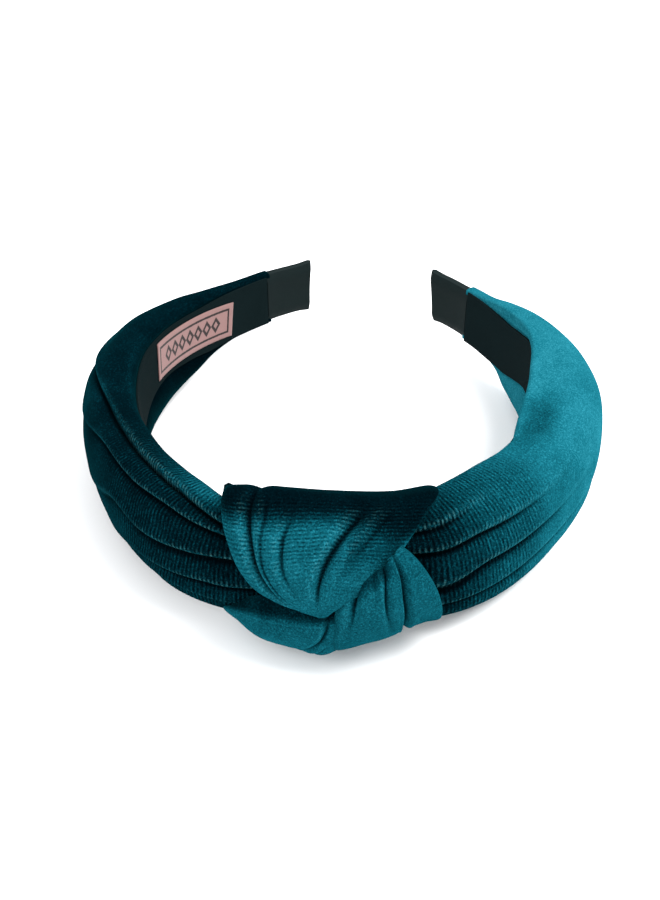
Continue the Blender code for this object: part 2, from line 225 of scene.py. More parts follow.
class Nodes:
    """Short ways to add shader nodes."""

    def __init__(self, name):
        self.material = bpy.data.materials.new(name)
        self.material.use_nodes = True
        self.tree = self.material.node_tree
        self.shader = self.tree.nodes["Principled BSDF"]

    def node(self, kind, **settings):
        made = self.tree.nodes.new(kind)
        for key, value in settings.items():
            setattr(made, key, value)
        return made

    def link(self, source, target):
        self.tree.links.new(source, target)

    def feed(self, socket, value):
        if hasattr(value, "is_output"):
            self.link(value, socket)
        else:
            socket.default_value = value

    def math(self, operation, *values):
        made = self.node("ShaderNodeMath", operation=operation)
        for socket, value in zip(made.inputs, values):
            self.feed(socket, value)
        return made.outputs[0]

    def wave(self, value, pitch):
        """A sine along a length, one wave to each pitch."""
        return self.math("SINE", self.math("MULTIPLY", value, 2.0 * math.pi / pitch))

    def to_unit(self, value):
        """-1..1 to 0..1."""
        return self.math("MULTIPLY_ADD", value, 0.5, 0.5)

    def attribute(self, name):
        return self.node("ShaderNodeAttribute", attribute_name=name).outputs["Fac"]

    def uv(self):
        separate = self.node("ShaderNodeSeparateXYZ")
        self.link(self.node("ShaderNodeUVMap", uv_map="cloth").outputs[0], separate.inputs[0])
        return separate.outputs[0], separate.outputs[1]

    def noise(self, scale, detail=2.0, roughness=0.5):
        made = self.node("ShaderNodeTexNoise")
        self.link(self.node("ShaderNodeTexCoord").outputs["Object"], made.inputs["Vector"])
        made.inputs["Scale"].default_value = scale
        made.inputs["Detail"].default_value = detail
        made.inputs["Roughness"].default_value = roughness
        return made.outputs["Fac"]

    def remap(self, value, low, high, to_low=0.0, to_high=1.0, smooth_end=False):
        made = self.node("ShaderNodeMapRange")
        if smooth_end:
            made.interpolation_type = "SMOOTHSTEP"
        for socket, number in zip(made.inputs, (value, low, high, to_low, to_high)):
            self.feed(socket, number)
        return made.outputs[0]

    def colour(self, factor, first, second):
        made = self.node("ShaderNodeMix", data_type="RGBA")
        made.clamp_factor = True
        self.feed(made.inputs["Factor"], factor)
        for socket, value in ((made.inputs["A"], first), (made.inputs["B"], second)):
            self.feed(socket, value if hasattr(value, "is_output") else (*value, 1.0))
        return made.outputs["Result"]

    def ramp(self, factor, stops):
        made = self.node("ShaderNodeValToRGB")
        self.feed(made.inputs[0], factor)
        elements = made.color_ramp.elements
        while len(elements) < len(stops):
            elements.new(0.5)
        for element, (position, colour) in zip(elements, stops):
            element.position = position
            element.color = (*colour, 1.0)
        return made.outputs[0]

    def bump(self, height, distance, strength=1.0):
        made = self.node("ShaderNodeBump")
        self.feed(made.inputs["Height"], height)
        made.inputs["Distance"].default_value = distance
        made.inputs["Strength"].default_value = strength
        self.link(made.outputs[0], self.shader.inputs["Normal"])

    def set(self, **values):
        for key, value in values.items():
            self.feed(self.shader.inputs[key.replace("_", " ")], value)


RIB_PITCH = 1.0
RIBBON_RIB_PITCH, RIBBON_THREAD_PITCH = 0.42, 0.36
LABEL_RIB_PITCH, LABEL_WEFT_PITCH = 0.45, 0.34
TIP_TONE = (0.0035, 0.0068, 0.0070)
LINING_TONE = (0.0030, 0.0062, 0.0068)
VELVET_STOPS = ((0.0, (0.0001, 0.0012, 0.0020)), (0.25, (0.0002, 0.0046, 0.0070)),
                (0.5, (0.0009, 0.0260, 0.0360)), (0.75, (0.0040, 0.0860, 0.1150)),
                (1.0, (0.0200, 0.1750, 0.2250)))
# Colour of the painted sheen highlights, the ticks, on the velvet's lips.
SHEEN_HIGHLIGHT = (0.030, 0.090, 0.092)


def velvet_material(name):
    """Pile velvet on a ribbed knit. The nap mask is painted light and shade: how far the pile leans
    towards the light, brighter or darker by how each part faces it. The ribs mask says how far the
    knit is stretched open. The fold mask is painted crease shade, low in the creases, and the lip mask
    a painted highlight beside them. Ticks are painted sheen highlights between the ribs on a lip."""
    m = Nodes(name)
    _, v = m.uv()
    drift = m.math("MULTIPLY", m.noise(170.0, 3.0), 6.0)
    phase = m.math("ADD", m.math("MULTIPLY", v, 2.0 * math.pi / RIB_PITCH), drift)
    rib = m.to_unit(m.math("SINE", phase))
    breaks = m.remap(m.noise(900.0, 2.0), 0.42, 0.60)
    stretched, lip_highlight = m.attribute("ribs"), m.attribute("lip_highlight")
    rib_mask = m.math("MULTIPLY", stretched, m.math("MULTIPLY_ADD", breaks, 0.85, 0.15))
    grain = m.noise(3200.0, 2.0, 0.8)
    specks = m.remap(m.noise(1900.0, 3.0, 0.75), 0.46, 0.68)
    patches = m.noise(75.0, 3.0, 0.6)
    # Painted light and shade: the nap mask sets how bright each part is by how it faces the light.
    tone = m.math("ADD", m.attribute("nap_painted_light"), m.math("MULTIPLY_ADD", patches, 0.30, -0.15))
    tone = m.math("ADD", tone, m.math("MULTIPLY_ADD", grain, 0.50, -0.25))
    tone = m.math("ADD", tone, m.math("MULTIPLY_ADD", specks, 0.22, -0.07))
    shaded_rib = m.math("MULTIPLY_ADD", rib, 0.36, -0.20)
    tone = m.math("ADD", tone, m.math("MULTIPLY", shaded_rib, rib_mask))
    # Painted shade: darker down in the creases.
    tone = m.math("ADD", tone, m.remap(m.attribute("crease_shade"), 0.0, 0.8, -0.50, 0.0, smooth_end=True))
    # Painted highlight: lighter on the lip of cloth above each crease.
    tone = m.math("ADD", tone, m.math("MULTIPLY", lip_highlight, m.math("MULTIPLY_ADD", specks, 0.26, 0.10)))
    # Painted sheen highlights: pale ticks between the ribs on a lip.
    sheen_tick = m.math("MULTIPLY", m.remap(rib, 0.45, 0.85), m.math("MULTIPLY", lip_highlight, breaks))
    sheen_tick = m.math("MULTIPLY", sheen_tick, m.math("MULTIPLY_ADD", stretched, 0.75, 0.12))
    m.set(Base_Color=m.colour(sheen_tick, m.ramp(tone, VELVET_STOPS), SHEEN_HIGHLIGHT), Roughness=0.8,
          Specular_IOR_Level=0.0, Sheen_Weight=0.045, Sheen_Roughness=0.30,
          Sheen_Tint=(0.04, 0.75, 0.90, 1.0))
    height = m.math("ADD", m.math("MULTIPLY", m.math("MULTIPLY", rib, rib_mask), 0.8),
                    m.math("MULTIPLY", grain, 0.6))
    m.bump(height, 0.00025, 0.6)
    return m.material


def ribbon_material(name, tone, gloss):
    """Matt dark ribbon with a fine rib weave and slight shading. gloss scales its sheen."""
    m = Nodes(name)
    u, v = m.uv()
    weave = m.to_unit(m.math("MULTIPLY", m.wave(v, RIBBON_RIB_PITCH),
                             m.wave(u, RIBBON_THREAD_PITCH)))
    cloud = m.noise(60.0, 3.0, 0.6)
    base = m.colour(cloud, tuple(c * 0.75 for c in tone), tuple(c * 1.5 for c in tone))
    m.set(Base_Color=m.colour(m.math("MULTIPLY", weave, 0.5), base, tuple(c * 2.3 for c in tone)),
          Roughness=m.remap(cloud, 0.2, 0.8, 0.62, 0.80), Specular_IOR_Level=0.05 * gloss,
          Sheen_Weight=0.008 * gloss, Sheen_Roughness=0.5, Sheen_Tint=(0.75, 0.85, 0.85, 1.0))
    m.bump(weave, 0.00008, 0.5)
    return m.material


LABEL_SIZE = (47.5, 13.2)
LABEL_INK = (0.012, 0.006, 0.006)
LABEL_GROUND = (0.27, 0.150, 0.140)

# The label's frame and diamonds: how far the frame is from the edge, half its line, the pitch
# of the diamonds, half the length of their row, half a diamond's height and half its line.
FRAME_INSET, FRAME_LINE = 2.2, 0.42
DIAMOND_PITCH, DIAMOND_ROW = 5.0, 17.5
DIAMOND_REACH, DIAMOND_LINE, DIAMOND_SLOPE = 2.3, 0.85, 1.25

# The label's thickness, its middle along the band and in height, and its tilt.
LABEL_THICKNESS = 0.35
LABEL_PLACE, LABEL_HEIGHT = -136.0, 2.2
LABEL_TILT = math.radians(-8.5)


def label_material():
    """Woven pink label: a thin dark frame and a plain row of seven woven diamonds."""
    m = Nodes("label_weave")
    u, v = m.uv()
    across = m.math("ABSOLUTE", m.math("SUBTRACT", u, LABEL_SIZE[0] / 2.0))
    up = m.math("ABSOLUTE", m.math("SUBTRACT", v, LABEL_SIZE[1] / 2.0))
    edge = m.math("MAXIMUM", m.math("SUBTRACT", across, LABEL_SIZE[0] / 2.0),
                  m.math("SUBTRACT", up, LABEL_SIZE[1] / 2.0))
    ragged = m.math("MULTIPLY_ADD", m.noise(1500.0, 1.0), 0.3, -0.15)
    off_frame = m.math("ABSOLUTE", m.math("ADD", m.math("ADD", edge, FRAME_INSET), ragged))
    line = m.math("LESS_THAN", off_frame, FRAME_LINE)
    count = m.math("DIVIDE", m.math("ADD", across, DIAMOND_PITCH / 2.0), DIAMOND_PITCH)
    cell = m.math("SUBTRACT", m.math("FRACT", count), 0.5)
    reach = m.math("ADD", m.math("MULTIPLY", m.math("ABSOLUTE", cell),
                                 DIAMOND_PITCH * DIAMOND_SLOPE), up)
    off_diamond = m.math("ABSOLUTE", m.math("ADD", m.math("SUBTRACT", reach, DIAMOND_REACH), ragged))
    diamond = m.math("LESS_THAN", off_diamond, DIAMOND_LINE)
    middle = m.math("LESS_THAN", across, DIAMOND_ROW)
    dark = m.math("MAXIMUM", line, m.math("MULTIPLY", diamond, middle))
    weave = m.math("MULTIPLY", m.to_unit(m.wave(u, LABEL_RIB_PITCH)),
                   m.to_unit(m.wave(v, LABEL_WEFT_PITCH)))
    ground = m.colour(weave, tuple(c * 0.80 for c in LABEL_GROUND),
                      tuple(c * 1.12 for c in LABEL_GROUND))
    m.set(Base_Color=m.colour(dark, ground, LABEL_INK), Roughness=0.75,
          Specular_IOR_Level=0.25, Sheen_Weight=0.1, Sheen_Roughness=0.4)
    m.bump(m.math("ADD", weave, m.math("MULTIPLY", dark, 0.6)), 0.0001, 0.6)
    return m.material


def plain_material(name, colour, roughness, grain_scale, bump_distance):
    """One even colour with a little unevenness."""
    m = Nodes(name)
    grain = m.noise(grain_scale, 4.0, 0.6)
    m.set(Base_Color=m.colour(grain, tuple(c * 0.8 for c in colour),
                              tuple(c * 1.2 for c in colour)),
          Roughness=m.remap(grain, 0.3, 0.7, roughness - 0.08, roughness + 0.08))
    m.bump(grain, bump_distance, 0.5)
    return m.material


# ---------------------------------------------------------------- velvet sleeves

# Middle height and half width of the lining left uncovered by the velvet, along each arm.
LEFT_LINING = ((0.0, 0.0, 13.5), (50.0, 1.5, 12.6), (80.0, 4.5, 10.6), (100.0, 6.0, 9.6),
               (117.0, 4.9, 8.6), (135.0, 2.1, 8.9), (150.0, -0.1, 9.5), (165.0, -0.5, 9.6),
               (178.0, -0.4, 9.6))
RIGHT_LINING = ((0.0, 0.0, 13.5), (60.0, 2.0, 12.4), (90.0, 6.0, 9.6), (110.0, 8.0, 9.0),
                (127.0, 7.4, 9.0), (141.0, 3.6, 9.4), (152.0, 0.8, 9.8), (165.0, 0.0, 10.0),
                (178.0, 0.0, 10.0))

# Along each arm: s, bulge outward, height up, height down, squareness, lean of the upper roll
# over the inner face, its crest's distance outward, lean of the lower roll.
LEFT_KEYS = (
    (-12.0, 6.0, 15.4, 13.8, 2.6, 2.5, 3.0, 0.5),
    (4.0, 8.6, 16.6, 14.2, 2.5, 2.5, 3.5, 0.0),
    (15.0, 11.6, 19.4, 14.9, 2.5, 0.0, 3.6, 0.0),
    (28.0, 13.2, 20.4, 16.3, 2.4, -2.8, 3.6, 0.0),
    (48.0, 15.0, 20.4, 17.9, 2.35, -1.6, 4.2, -0.6),
    (71.0, 17.4, 20.2, 19.3, 2.35, 0.2, 5.0, -1.0),
    (95.0, 18.8, 19.6, 19.8, 2.4, 0.8, 6.0, -0.9),
    (121.0, 16.4, 17.2, 18.4, 2.4, 0.4, 6.4, -1.2),
    (140.0, 11.2, 14.4, 16.0, 2.5, 0.2, 5.0, -0.8),
    (152.0, 8.0, 12.2, 12.6, 2.6, 0.4, 4.0, 0.4),
    (165.0, 6.2, 10.7, 10.8, 3.0, 0.9, 3.2, 1.0),
    (178.5, 5.8, 10.2, 10.4, 4.0, 0.9, 2.8, 1.0),
)
RIGHT_KEYS = (
    (10.0, 7.0, 15.0, 14.0, 2.6, 2.5, 3.0, 0.5),
    (24.0, 11.0, 17.4, 15.0, 2.5, 2.5, 3.6, 0.0),
    (34.0, 17.2, 19.2, 16.4, 2.5, 0.8, 4.2, 0.0),
    (42.0, 18.8, 20.2, 17.8, 2.5, -2.2, 4.6, -0.5),
    (54.0, 20.0, 20.2, 19.0, 2.5, -1.8, 5.0, -0.6),
    (68.0, 20.6, 19.8, 19.8, 2.5, 0.4, 5.4, -0.8),
    (78.0, 21.2, 20.2, 19.9, 2.55, -1.2, 5.6, -0.8),
    (92.0, 22.0, 20.4, 19.9, 2.6, -3.2, 5.6, -1.2),
    (108.0, 21.8, 20.4, 19.9, 2.6, -3.6, 5.8, -1.6),
    (124.0, 19.4, 19.4, 19.2, 2.5, -1.8, 5.8, -2.6),
    (137.0, 16.2, 17.8, 18.0, 2.4, -0.2, 5.4, -2.6),
    (148.0, 12.8, 16.2, 16.2, 2.4, 0.4, 4.8, -1.8),
    (158.0, 9.2, 14.2, 12.8, 2.5, 0.6, 3.8, 0.2),
    (168.0, 6.4, 11.8, 10.7, 2.8, 0.8, 3.0, 1.0),
    (178.5, 5.8, 10.5, 10.4, 4.0, 0.9, 2.8, 1.0),
)

# Creases: places (along the arm, round the sleeve) from the knot outward, how far along the arm
# each one lasts, and its depth. Round the sleeve, 0 is the upper inner edge, 0.5 outermost.
LEFT_CREASES = (
    (((0, 0.32), (13, 0.30), (22, 0.25), (28, 0.222), (39, 0.214), (51, 0.214), (69, 0.226),
      (99, 0.33), (125, 0.40)), 150, 2.5),
    (((0, 0.38), (22, 0.342), (30, 0.328), (42, 0.34), (56, 0.335), (79, 0.42), (100, 0.50)), 100, 2.3),
    (((0, 0.45), (11, 0.447), (22, 0.465), (37, 0.487), (47, 0.477), (62, 0.53), (80, 0.60)), 84, 2.1),
    (((0, 0.535), (16, 0.535), (27, 0.56), (42, 0.60), (58, 0.66), (70, 0.70)), 72, 1.9),
    (((0, 0.63), (16, 0.63), (45, 0.68), (90, 0.74)), 80, 1.4),
    (((0, 0.74), (20, 0.74), (60, 0.79), (90, 0.81)), 70, 1.3),
)
RIGHT_CREASES = (
    (((18, 0.30), (33, 0.285), (45, 0.262), (60, 0.25)), 56, 1.4),
    (((18, 0.40), (35, 0.384), (44, 0.371), (65, 0.371), (85, 0.34)), 84, 1.9),
    (((18, 0.52), (35, 0.503), (44, 0.478), (57, 0.472), (73, 0.465), (95, 0.44)), 96, 1.8),
    (((18, 0.60), (36, 0.575), (60, 0.545), (95, 0.52), (120, 0.50)), 118, 1.6),
    (((18, 0.67), (37, 0.654), (51, 0.623), (77, 0.606), (110, 0.58)), 112, 1.6),
    (((18, 0.74), (37, 0.73), (60, 0.70), (100, 0.68)), 98, 1.4),
    (((18, 0.82), (37, 0.81), (60, 0.79), (100, 0.78)), 84, 1.2),
)
# Shares of each half of the outline: the velvet's edge on the lining, then the roll up to its
# crest. Beyond the shoulder comes the outer curve.
TUCK = 0.03
SHOULDER = 0.35
EDGE_LIFT = 0.75
EDGE_LAP = 1.2
LOWER_CREST = 0.4
SLEEVE_ROWS = 250
OUTER_COLUMNS = 200
INNER_COLUMNS = 8

# A crease's reach round the sleeve above and below its line, how far its line is rounded, the
# swell of cloth above it, and the share of its length over which it keeps its full depth.
CREASE_ABOVE, CREASE_BELOW, CREASE_ROUND = 0.011, 0.030, 0.0015
SWELL_PLACE, SWELL_WIDTH, SWELL_SHARE = 0.030, 0.020, 0.42
CREASE_HOLD = 0.45


def sleeve_outline(keys, lining, places, q):
    """n and z round the outside of the sleeve at each place: q runs from 0 at the lining's upper
    edge, over the upper roll, through 0.5 outermost, to 1 at the lining's lower edge."""
    sizes = along_keys(keys, places)
    bulge, top, bottom, power, lean_up, crest, lean_down = (sizes[:, i:i + 1] for i in range(7))
    middle, half_open = (along_keys(lining, places)[:, i:i + 1] for i in range(2))
    q = q[None, :]
    upper = q < 0.5
    height = np.where(upper, top, bottom)
    lean = np.where(upper, lean_up, lean_down)
    crest = np.where(upper, crest, LOWER_CREST * bulge)
    edge = np.where(upper, middle, -middle) + half_open - EDGE_LAP
    half = 2.0 * np.where(upper, q, 1.0 - q)
    rise = np.clip(half / TUCK, 0.0, 1.0)
    t = np.clip((half - TUCK) / (SHOULDER - TUCK), 0.0, 1.0)
    foot = np.minimum(edge + 1.5, height - 0.5)
    mix = ((1 - t) ** 3, 3 * t * (1 - t) ** 2, 3 * t * t * (1 - t), t ** 3)
    inner_n = mix[0] * EDGE_LIFT + (mix[1] + mix[2]) * lean + mix[3] * crest
    inner_z = mix[0] * foot + mix[1] * (foot + 0.15 * (height - foot)) + (mix[2] + mix[3]) * height
    turn = np.clip((half - SHOULDER) / (1.0 - SHOULDER), 0.0, 1.0) * math.pi / 2.0
    outer_n = crest + (bulge - crest) * np.sin(turn) ** (2.0 / power)
    outer_z = height * np.cos(turn) ** (2.0 / power)
    n = np.where(half < TUCK, EDGE_LIFT, np.where(half < SHOULDER, inner_n, outer_n))
    z = np.where(half < TUCK, edge + (foot - edge) * rise,
                 np.where(half < SHOULDER, inner_z, outer_z))
    return n, np.where(upper, z, -z)


def crease_fields(creases, places, q):
    """Depth of the cloth, a painted crease shade that is low in the creases, and a painted highlight
    that is high on the lip of cloth above each crease."""
    depth = np.zeros((len(places), len(q)))
    crease_shade = np.ones_like(depth)
    lip_highlight = np.zeros_like(depth)
    for keys, end, deep in creases:
        line = along_keys(keys, places)
        strength = (1.0 - smooth(places, end * CREASE_HOLD, end))[:, None]
        gap = q[None, :] - line
        reach = np.sqrt(gap * gap + CREASE_ROUND ** 2)
        above = np.exp(-(reach / CREASE_ABOVE) ** 1.2)
        below = np.exp(-(reach / CREASE_BELOW))
        notch = np.where(gap < 0.0, above, below)
        swell = np.exp(-((gap + SWELL_PLACE) / SWELL_WIDTH) ** 2)
        depth += deep * strength * (notch - SWELL_SHARE * swell)
        crease_shade = np.minimum(crease_shade, 1.0 - strength * np.where(gap < 0.0, above ** 1.5,
                                                          np.exp(-(reach / 0.018) ** 1.2)))
        lip_highlight = np.maximum(lip_highlight, strength * np.exp(-((gap + 0.017) / 0.011) ** 2))
    return depth, crease_shade, lip_highlight


def sleeve(name, side, keys, lining, creases, nap_painted_light, ribs, material, extra=None):
    """One padded velvet sleeve with creases that gather towards the knot. side is -1 for the
    left arm; the nap mask of painted light and shade, ribs and extra, which pushes the cloth outward, are
    read over the sleeve."""
    places = np.linspace(keys[0][0], keys[-1][0], SLEEVE_ROWS)
    q = np.linspace(0.0, 1.0, OUTER_COLUMNS)
    n, z = sleeve_outline(keys, lining, places, q)
    s = np.repeat(places[:, None], len(q), axis=1)
    depth, crease_shade, lip_highlight = crease_fields(creases, places, q)
    reach = smooth(np.minimum(q, 1.0 - q), 0.0, 0.06)
    push = 0.30 * wobble(s * 0.09, q[None, :] * 9.0, 3 if side < 0 else 8) - depth
    if extra:
        push = push + extra(s, q[None, :])
    push = push * reach[None, :]
    base = band_points(side * s, n, z)
    normal = normals_of(base)
    centre = base.mean(axis=1, keepdims=True)
    normal = normal * np.sign(((base - centre) * normal).sum())
    outer = base + normal * push[..., None]
    above_rest(outer)
    t = np.linspace(0.0, 1.0, INNER_COLUMNS + 2)[1:-1]
    back = outer[:, -1:, :] * (1 - t)[None, :, None] + outer[:, :1, :] * t[None, :, None]
    points = np.concatenate([outer, back], axis=1)
    step = np.linalg.norm(np.diff(points, axis=1), axis=2).mean(0)
    around = np.concatenate([[0.0], np.cumsum(step), [step.sum() + step[-1]]])
    uv = np.stack(np.meshgrid(around, places, indexing="xy"), axis=-1)
    # The nap mask is painted light and shade, fold painted crease shade and lip a painted highlight.
    fields = {"nap_painted_light": nap_painted_light(s, q[None, :]), "ribs": ribs(s, q[None, :]), "crease_shade": crease_shade, "lip_highlight": lip_highlight}
    hidden = {"nap_painted_light": 0.2, "ribs": 0.0, "crease_shade": 1.0, "lip_highlight": 0.0}
    masks = {key: np.concatenate([value + 0.0 * s,
                                  np.full((SLEEVE_ROWS, INNER_COLUMNS), hidden[key])], axis=1)
             for key, value in fields.items()}
    if side < 0:
        points, uv = points[:, ::-1], uv[:, ::-1]
        masks = {key: value[:, ::-1] for key, value in masks.items()}
    return cloth_grid(name, points, uv, masks, material, closed=True)


def left_painted_light(s, q):
    """Painted light and shade on the left sleeve: dark nearly all over, with a painted highlight on the
    inner roll beside the knot and a softer one along its inner crest, lighter low on the front near the
    knot, and painted shade on the underside.
    """
    near = bump_at(s, 20.0, 17.0) * (1.0 - smooth(q, 0.15, 0.28))
    inner = 0.10 * bump_at(q, 0.12, 0.03) * bump_at(s, 80.0, 25.0)
    low = 0.13 * smooth(q, 0.32, 0.60) * (1.0 - smooth(s, 50.0, 80.0))
    under = 0.14 * smooth(q, 0.84, 0.92) * smooth(s, 60.0, 90.0)
    return 0.20 + 0.40 * near + inner + low - under + 0.06 * bump_at(q, 0.30, 0.1)


def left_ribs(s, q):
    return 1.0 - smooth(s, 36.0, 70.0)


def right_painted_light(s, q):
    """Painted light and shade on the right sleeve: bright along the arm, with painted shade in the gathers
    beside the knot, in the hollow of the upper roll and towards the knot's end.
    """
    dark = (1.0 - smooth(s, 32.0, 50.0)) * smooth(q, 0.12, 0.30)
    hollow = bump_at(s, 84.0, 12.0) * bump_at(q, 0.17, 0.05)
    knot_end = 0.10 * (1.0 - smooth(s, 45.0, 65.0))
    return 0.62 + 0.20 * smooth(s, 45.0, 95.0) - 0.24 * dark - 0.22 * hollow - knot_end


def right_ribs(s, q):
    return 1.0 - smooth(s, 46.0, 72.0)


def right_extra(s, q):
    """The dent where the upper roll folds under the far part, and the folded rim beyond it."""
    dent = -2.3 * bump_at(s, 69.0 + 55.0 * q, 3.4) * (1.0 - smooth(q, 0.12, 0.26))
    rim = 0.9 * bump_at(q, 0.115, 0.022) * smooth(s, 72.0, 86.0) * (1.0 - smooth(s, 150.0, 170.0))
    return dent + rim


# ---------------------------------------------------------------- knot

KNOT_COLUMNS, KNOT_ROWS = 170, 150
KNOT_CLOTH = 1.4
KNOT_RIB_STRETCH = 0.92


def knot_fold(name, nets, knots, creases, nap_painted_light, ribs, material):
    """One turn of the knot. nets are columns of given points, knots their places across and
    along; a crease is (keys of along, across, strength), depth, width."""
    a = np.linspace(0.0, 1.0, KNOT_COLUMNS)
    b = np.linspace(0.0, 1.0, KNOT_ROWS)
    columns = np.swapaxes(np.asarray(nets, float), 0, 1)
    base = curve_through(knots[1], columns, b)
    base = np.swapaxes(curve_through(knots[0], np.swapaxes(base, 0, 1), a), 0, 1)
    normal = normals_of(base)
    a, b = a[None, :], b[:, None]
    depth = np.zeros((KNOT_ROWS, KNOT_COLUMNS))
    crease_shade = np.ones_like(depth)
    lip_highlight = np.zeros_like(depth)
    for keys, deep, width in creases:
        table = along_keys(keys, b[:, 0])
        gap = (a - table[:, :1]) / width
        power = np.clip(table[:, 1:2], 0.0, 1.3)
        narrow = np.exp(-np.abs(gap) ** 1.3) * power
        depth += deep * (narrow + 0.35 * np.exp(-(gap / 2.8) ** 2) * power
                         - 0.24 * np.exp(-((np.abs(gap) - 3.0) / 1.6) ** 2) * power)
        crease_shade = np.minimum(crease_shade, 1.0 - np.clip(narrow * 1.1, 0.0, 1.0))
        lip_highlight = np.maximum(lip_highlight, power * np.exp(-((gap + 1.9) / 1.0) ** 2))
    rough = 0.22 * wobble(a * 6.0, b * 7.0, len(name))
    points = base + normal * (rough - depth)[..., None]
    above_rest(points)
    width = np.linalg.norm(np.diff(points, axis=1), axis=2).mean(0)
    length = np.linalg.norm(np.diff(points, axis=0), axis=2).mean(1)
    u = np.concatenate([[0.0], np.cumsum(width)])
    v = np.concatenate([[0.0], np.cumsum(length)]) * KNOT_RIB_STRETCH
    uv = np.stack(np.meshgrid(u, v, indexing="xy"), axis=-1)
    blank = 0.0 * a * b
    # The nap mask is painted light and shade, fold painted crease shade and lip a painted highlight beside
    # the creases.
    masks = {"nap_painted_light": nap_painted_light(a, b) + blank, "ribs": ribs(a, b) + blank, "crease_shade": 0.25 + 0.75 * crease_shade,
             "lip_highlight": 0.4 * lip_highlight}
    return thicken(cloth_grid(name, points, uv, masks, material), KNOT_CLOTH)


# Columns from left to right. In each, points from behind the band, over its top, to the apex in
# front.
FAN_PLACES = ((0.0, 0.05, 0.12, 0.30, 0.50, 0.70, 0.88, 0.95, 1.0),
              (0.0, 0.05, 0.16, 0.28, 0.43, 0.59, 0.73, 0.84, 0.93, 1.0))
FAN = (
    ((-11.2, 0.3, 13.7), (-11.5, 1.0, 14.8), (-12.0, 2.8, 17.4), (-13.0, 2.4, 19.2), (-14.2, -1.4, 17.6),
     (-11.8, -7.6, 13.8), (-7.8, -12.6, 8.4), (-2.6, -16.0, 5.4), (4.6, -17.6, 4.8), (9.4, -18.6, 4.2)),
    ((-12.7, 0.7, 13.7), (-13.3, 1.5, 14.8), (-15.4, 3.2, 18.6), (-16.6, 2.0, 21.6), (-17.0, -2.6, 20.0),
     (-14.4, -9.4, 15.2), (-9.8, -14.6, 9.0), (-3.8, -18.0, 5.6), (4.2, -19.8, 4.6), (9.6, -19.8, 3.8)),
    ((-12.4, 0.6, 13.5), (-12.8, 1.3, 14.7), (-15.2, 2.4, 21.0), (-16.0, -0.6, 24.6), (-15.6, -6.0, 21.8),
     (-12.8, -12.2, 17.0), (-8.0, -17.2, 10.6), (-2.2, -20.2, 7.0), (5.4, -21.8, 5.4), (10.2, -21.0, 3.6)),
    ((-4.0, -0.6, 12.4), (-4.4, 0.3, 14.6), (-5.0, 1.2, 23.6), (-5.4, -3.0, 27.6), (-3.8, -9.8, 25.4),
     (-2.4, -16.4, 20.4), (-0.4, -20.4, 14.8), (3.6, -22.6, 9.8), (8.4, -23.2, 6.6), (11.2, -21.8, 3.4)),
    ((10.0, -0.1, 12.4), (10.0, 0.8, 14.6), (9.8, 1.8, 24.0), (9.8, -3.0, 28.1), (11.0, -10.0, 27.6),
     (11.6, -17.0, 24.2), (11.6, -21.4, 19.2), (11.7, -23.6, 13.8), (12.0, -23.8, 8.2), (12.4, -22.0, 3.6)),
    ((23.9, 4.6, 12.4), (24.0, 5.7, 14.6), (25.0, 6.4, 22.6), (25.2, 0.6, 26.4), (23.8, -7.0, 26.6),
     (21.9, -14.6, 23.2), (19.4, -19.4, 18.4), (17.0, -22.0, 13.2), (14.8, -22.9, 8.2), (13.2, -21.8, 3.8)),
    ((32.2, 10.8, 13.5), (32.5, 11.8, 14.7), (34.6, 12.6, 21.0), (35.6, 5.6, 25.2), (33.2, -2.6, 24.2),
     (29.2, -10.4, 20.2), (25.2, -15.9, 15.6), (21.0, -19.8, 11.2), (16.8, -21.8, 8.0), (14.0, -20.8, 4.2)),
    ((33.0, 11.5, 13.7), (33.3, 12.5, 14.8), (35.6, 13.2, 19.8), (37.2, 7.4, 23.4), (34.9, -0.2, 22.6),
     (31.0, -8.4, 18.6), (26.8, -14.2, 14.6), (22.2, -18.4, 10.2), (17.4, -20.4, 7.4), (14.2, -19.6, 4.4)),
    ((32.5, 11.2, 13.7), (32.8, 12.2, 14.8), (34.0, 12.9, 18.0), (34.8, 9.8, 20.8), (32.6, 2.6, 20.2),
     (28.8, -5.8, 16.4), (25.0, -11.8, 12.8), (20.8, -16.6, 9.0), (16.6, -18.6, 6.8), (13.8, -18.4, 4.6)),
)
LEFT_TURN_PLACES = ((0.0, 0.07, 0.24, 0.44, 0.64, 0.84, 1.0), (0.0, 0.14, 0.32, 0.56, 0.76, 0.92, 1.0))
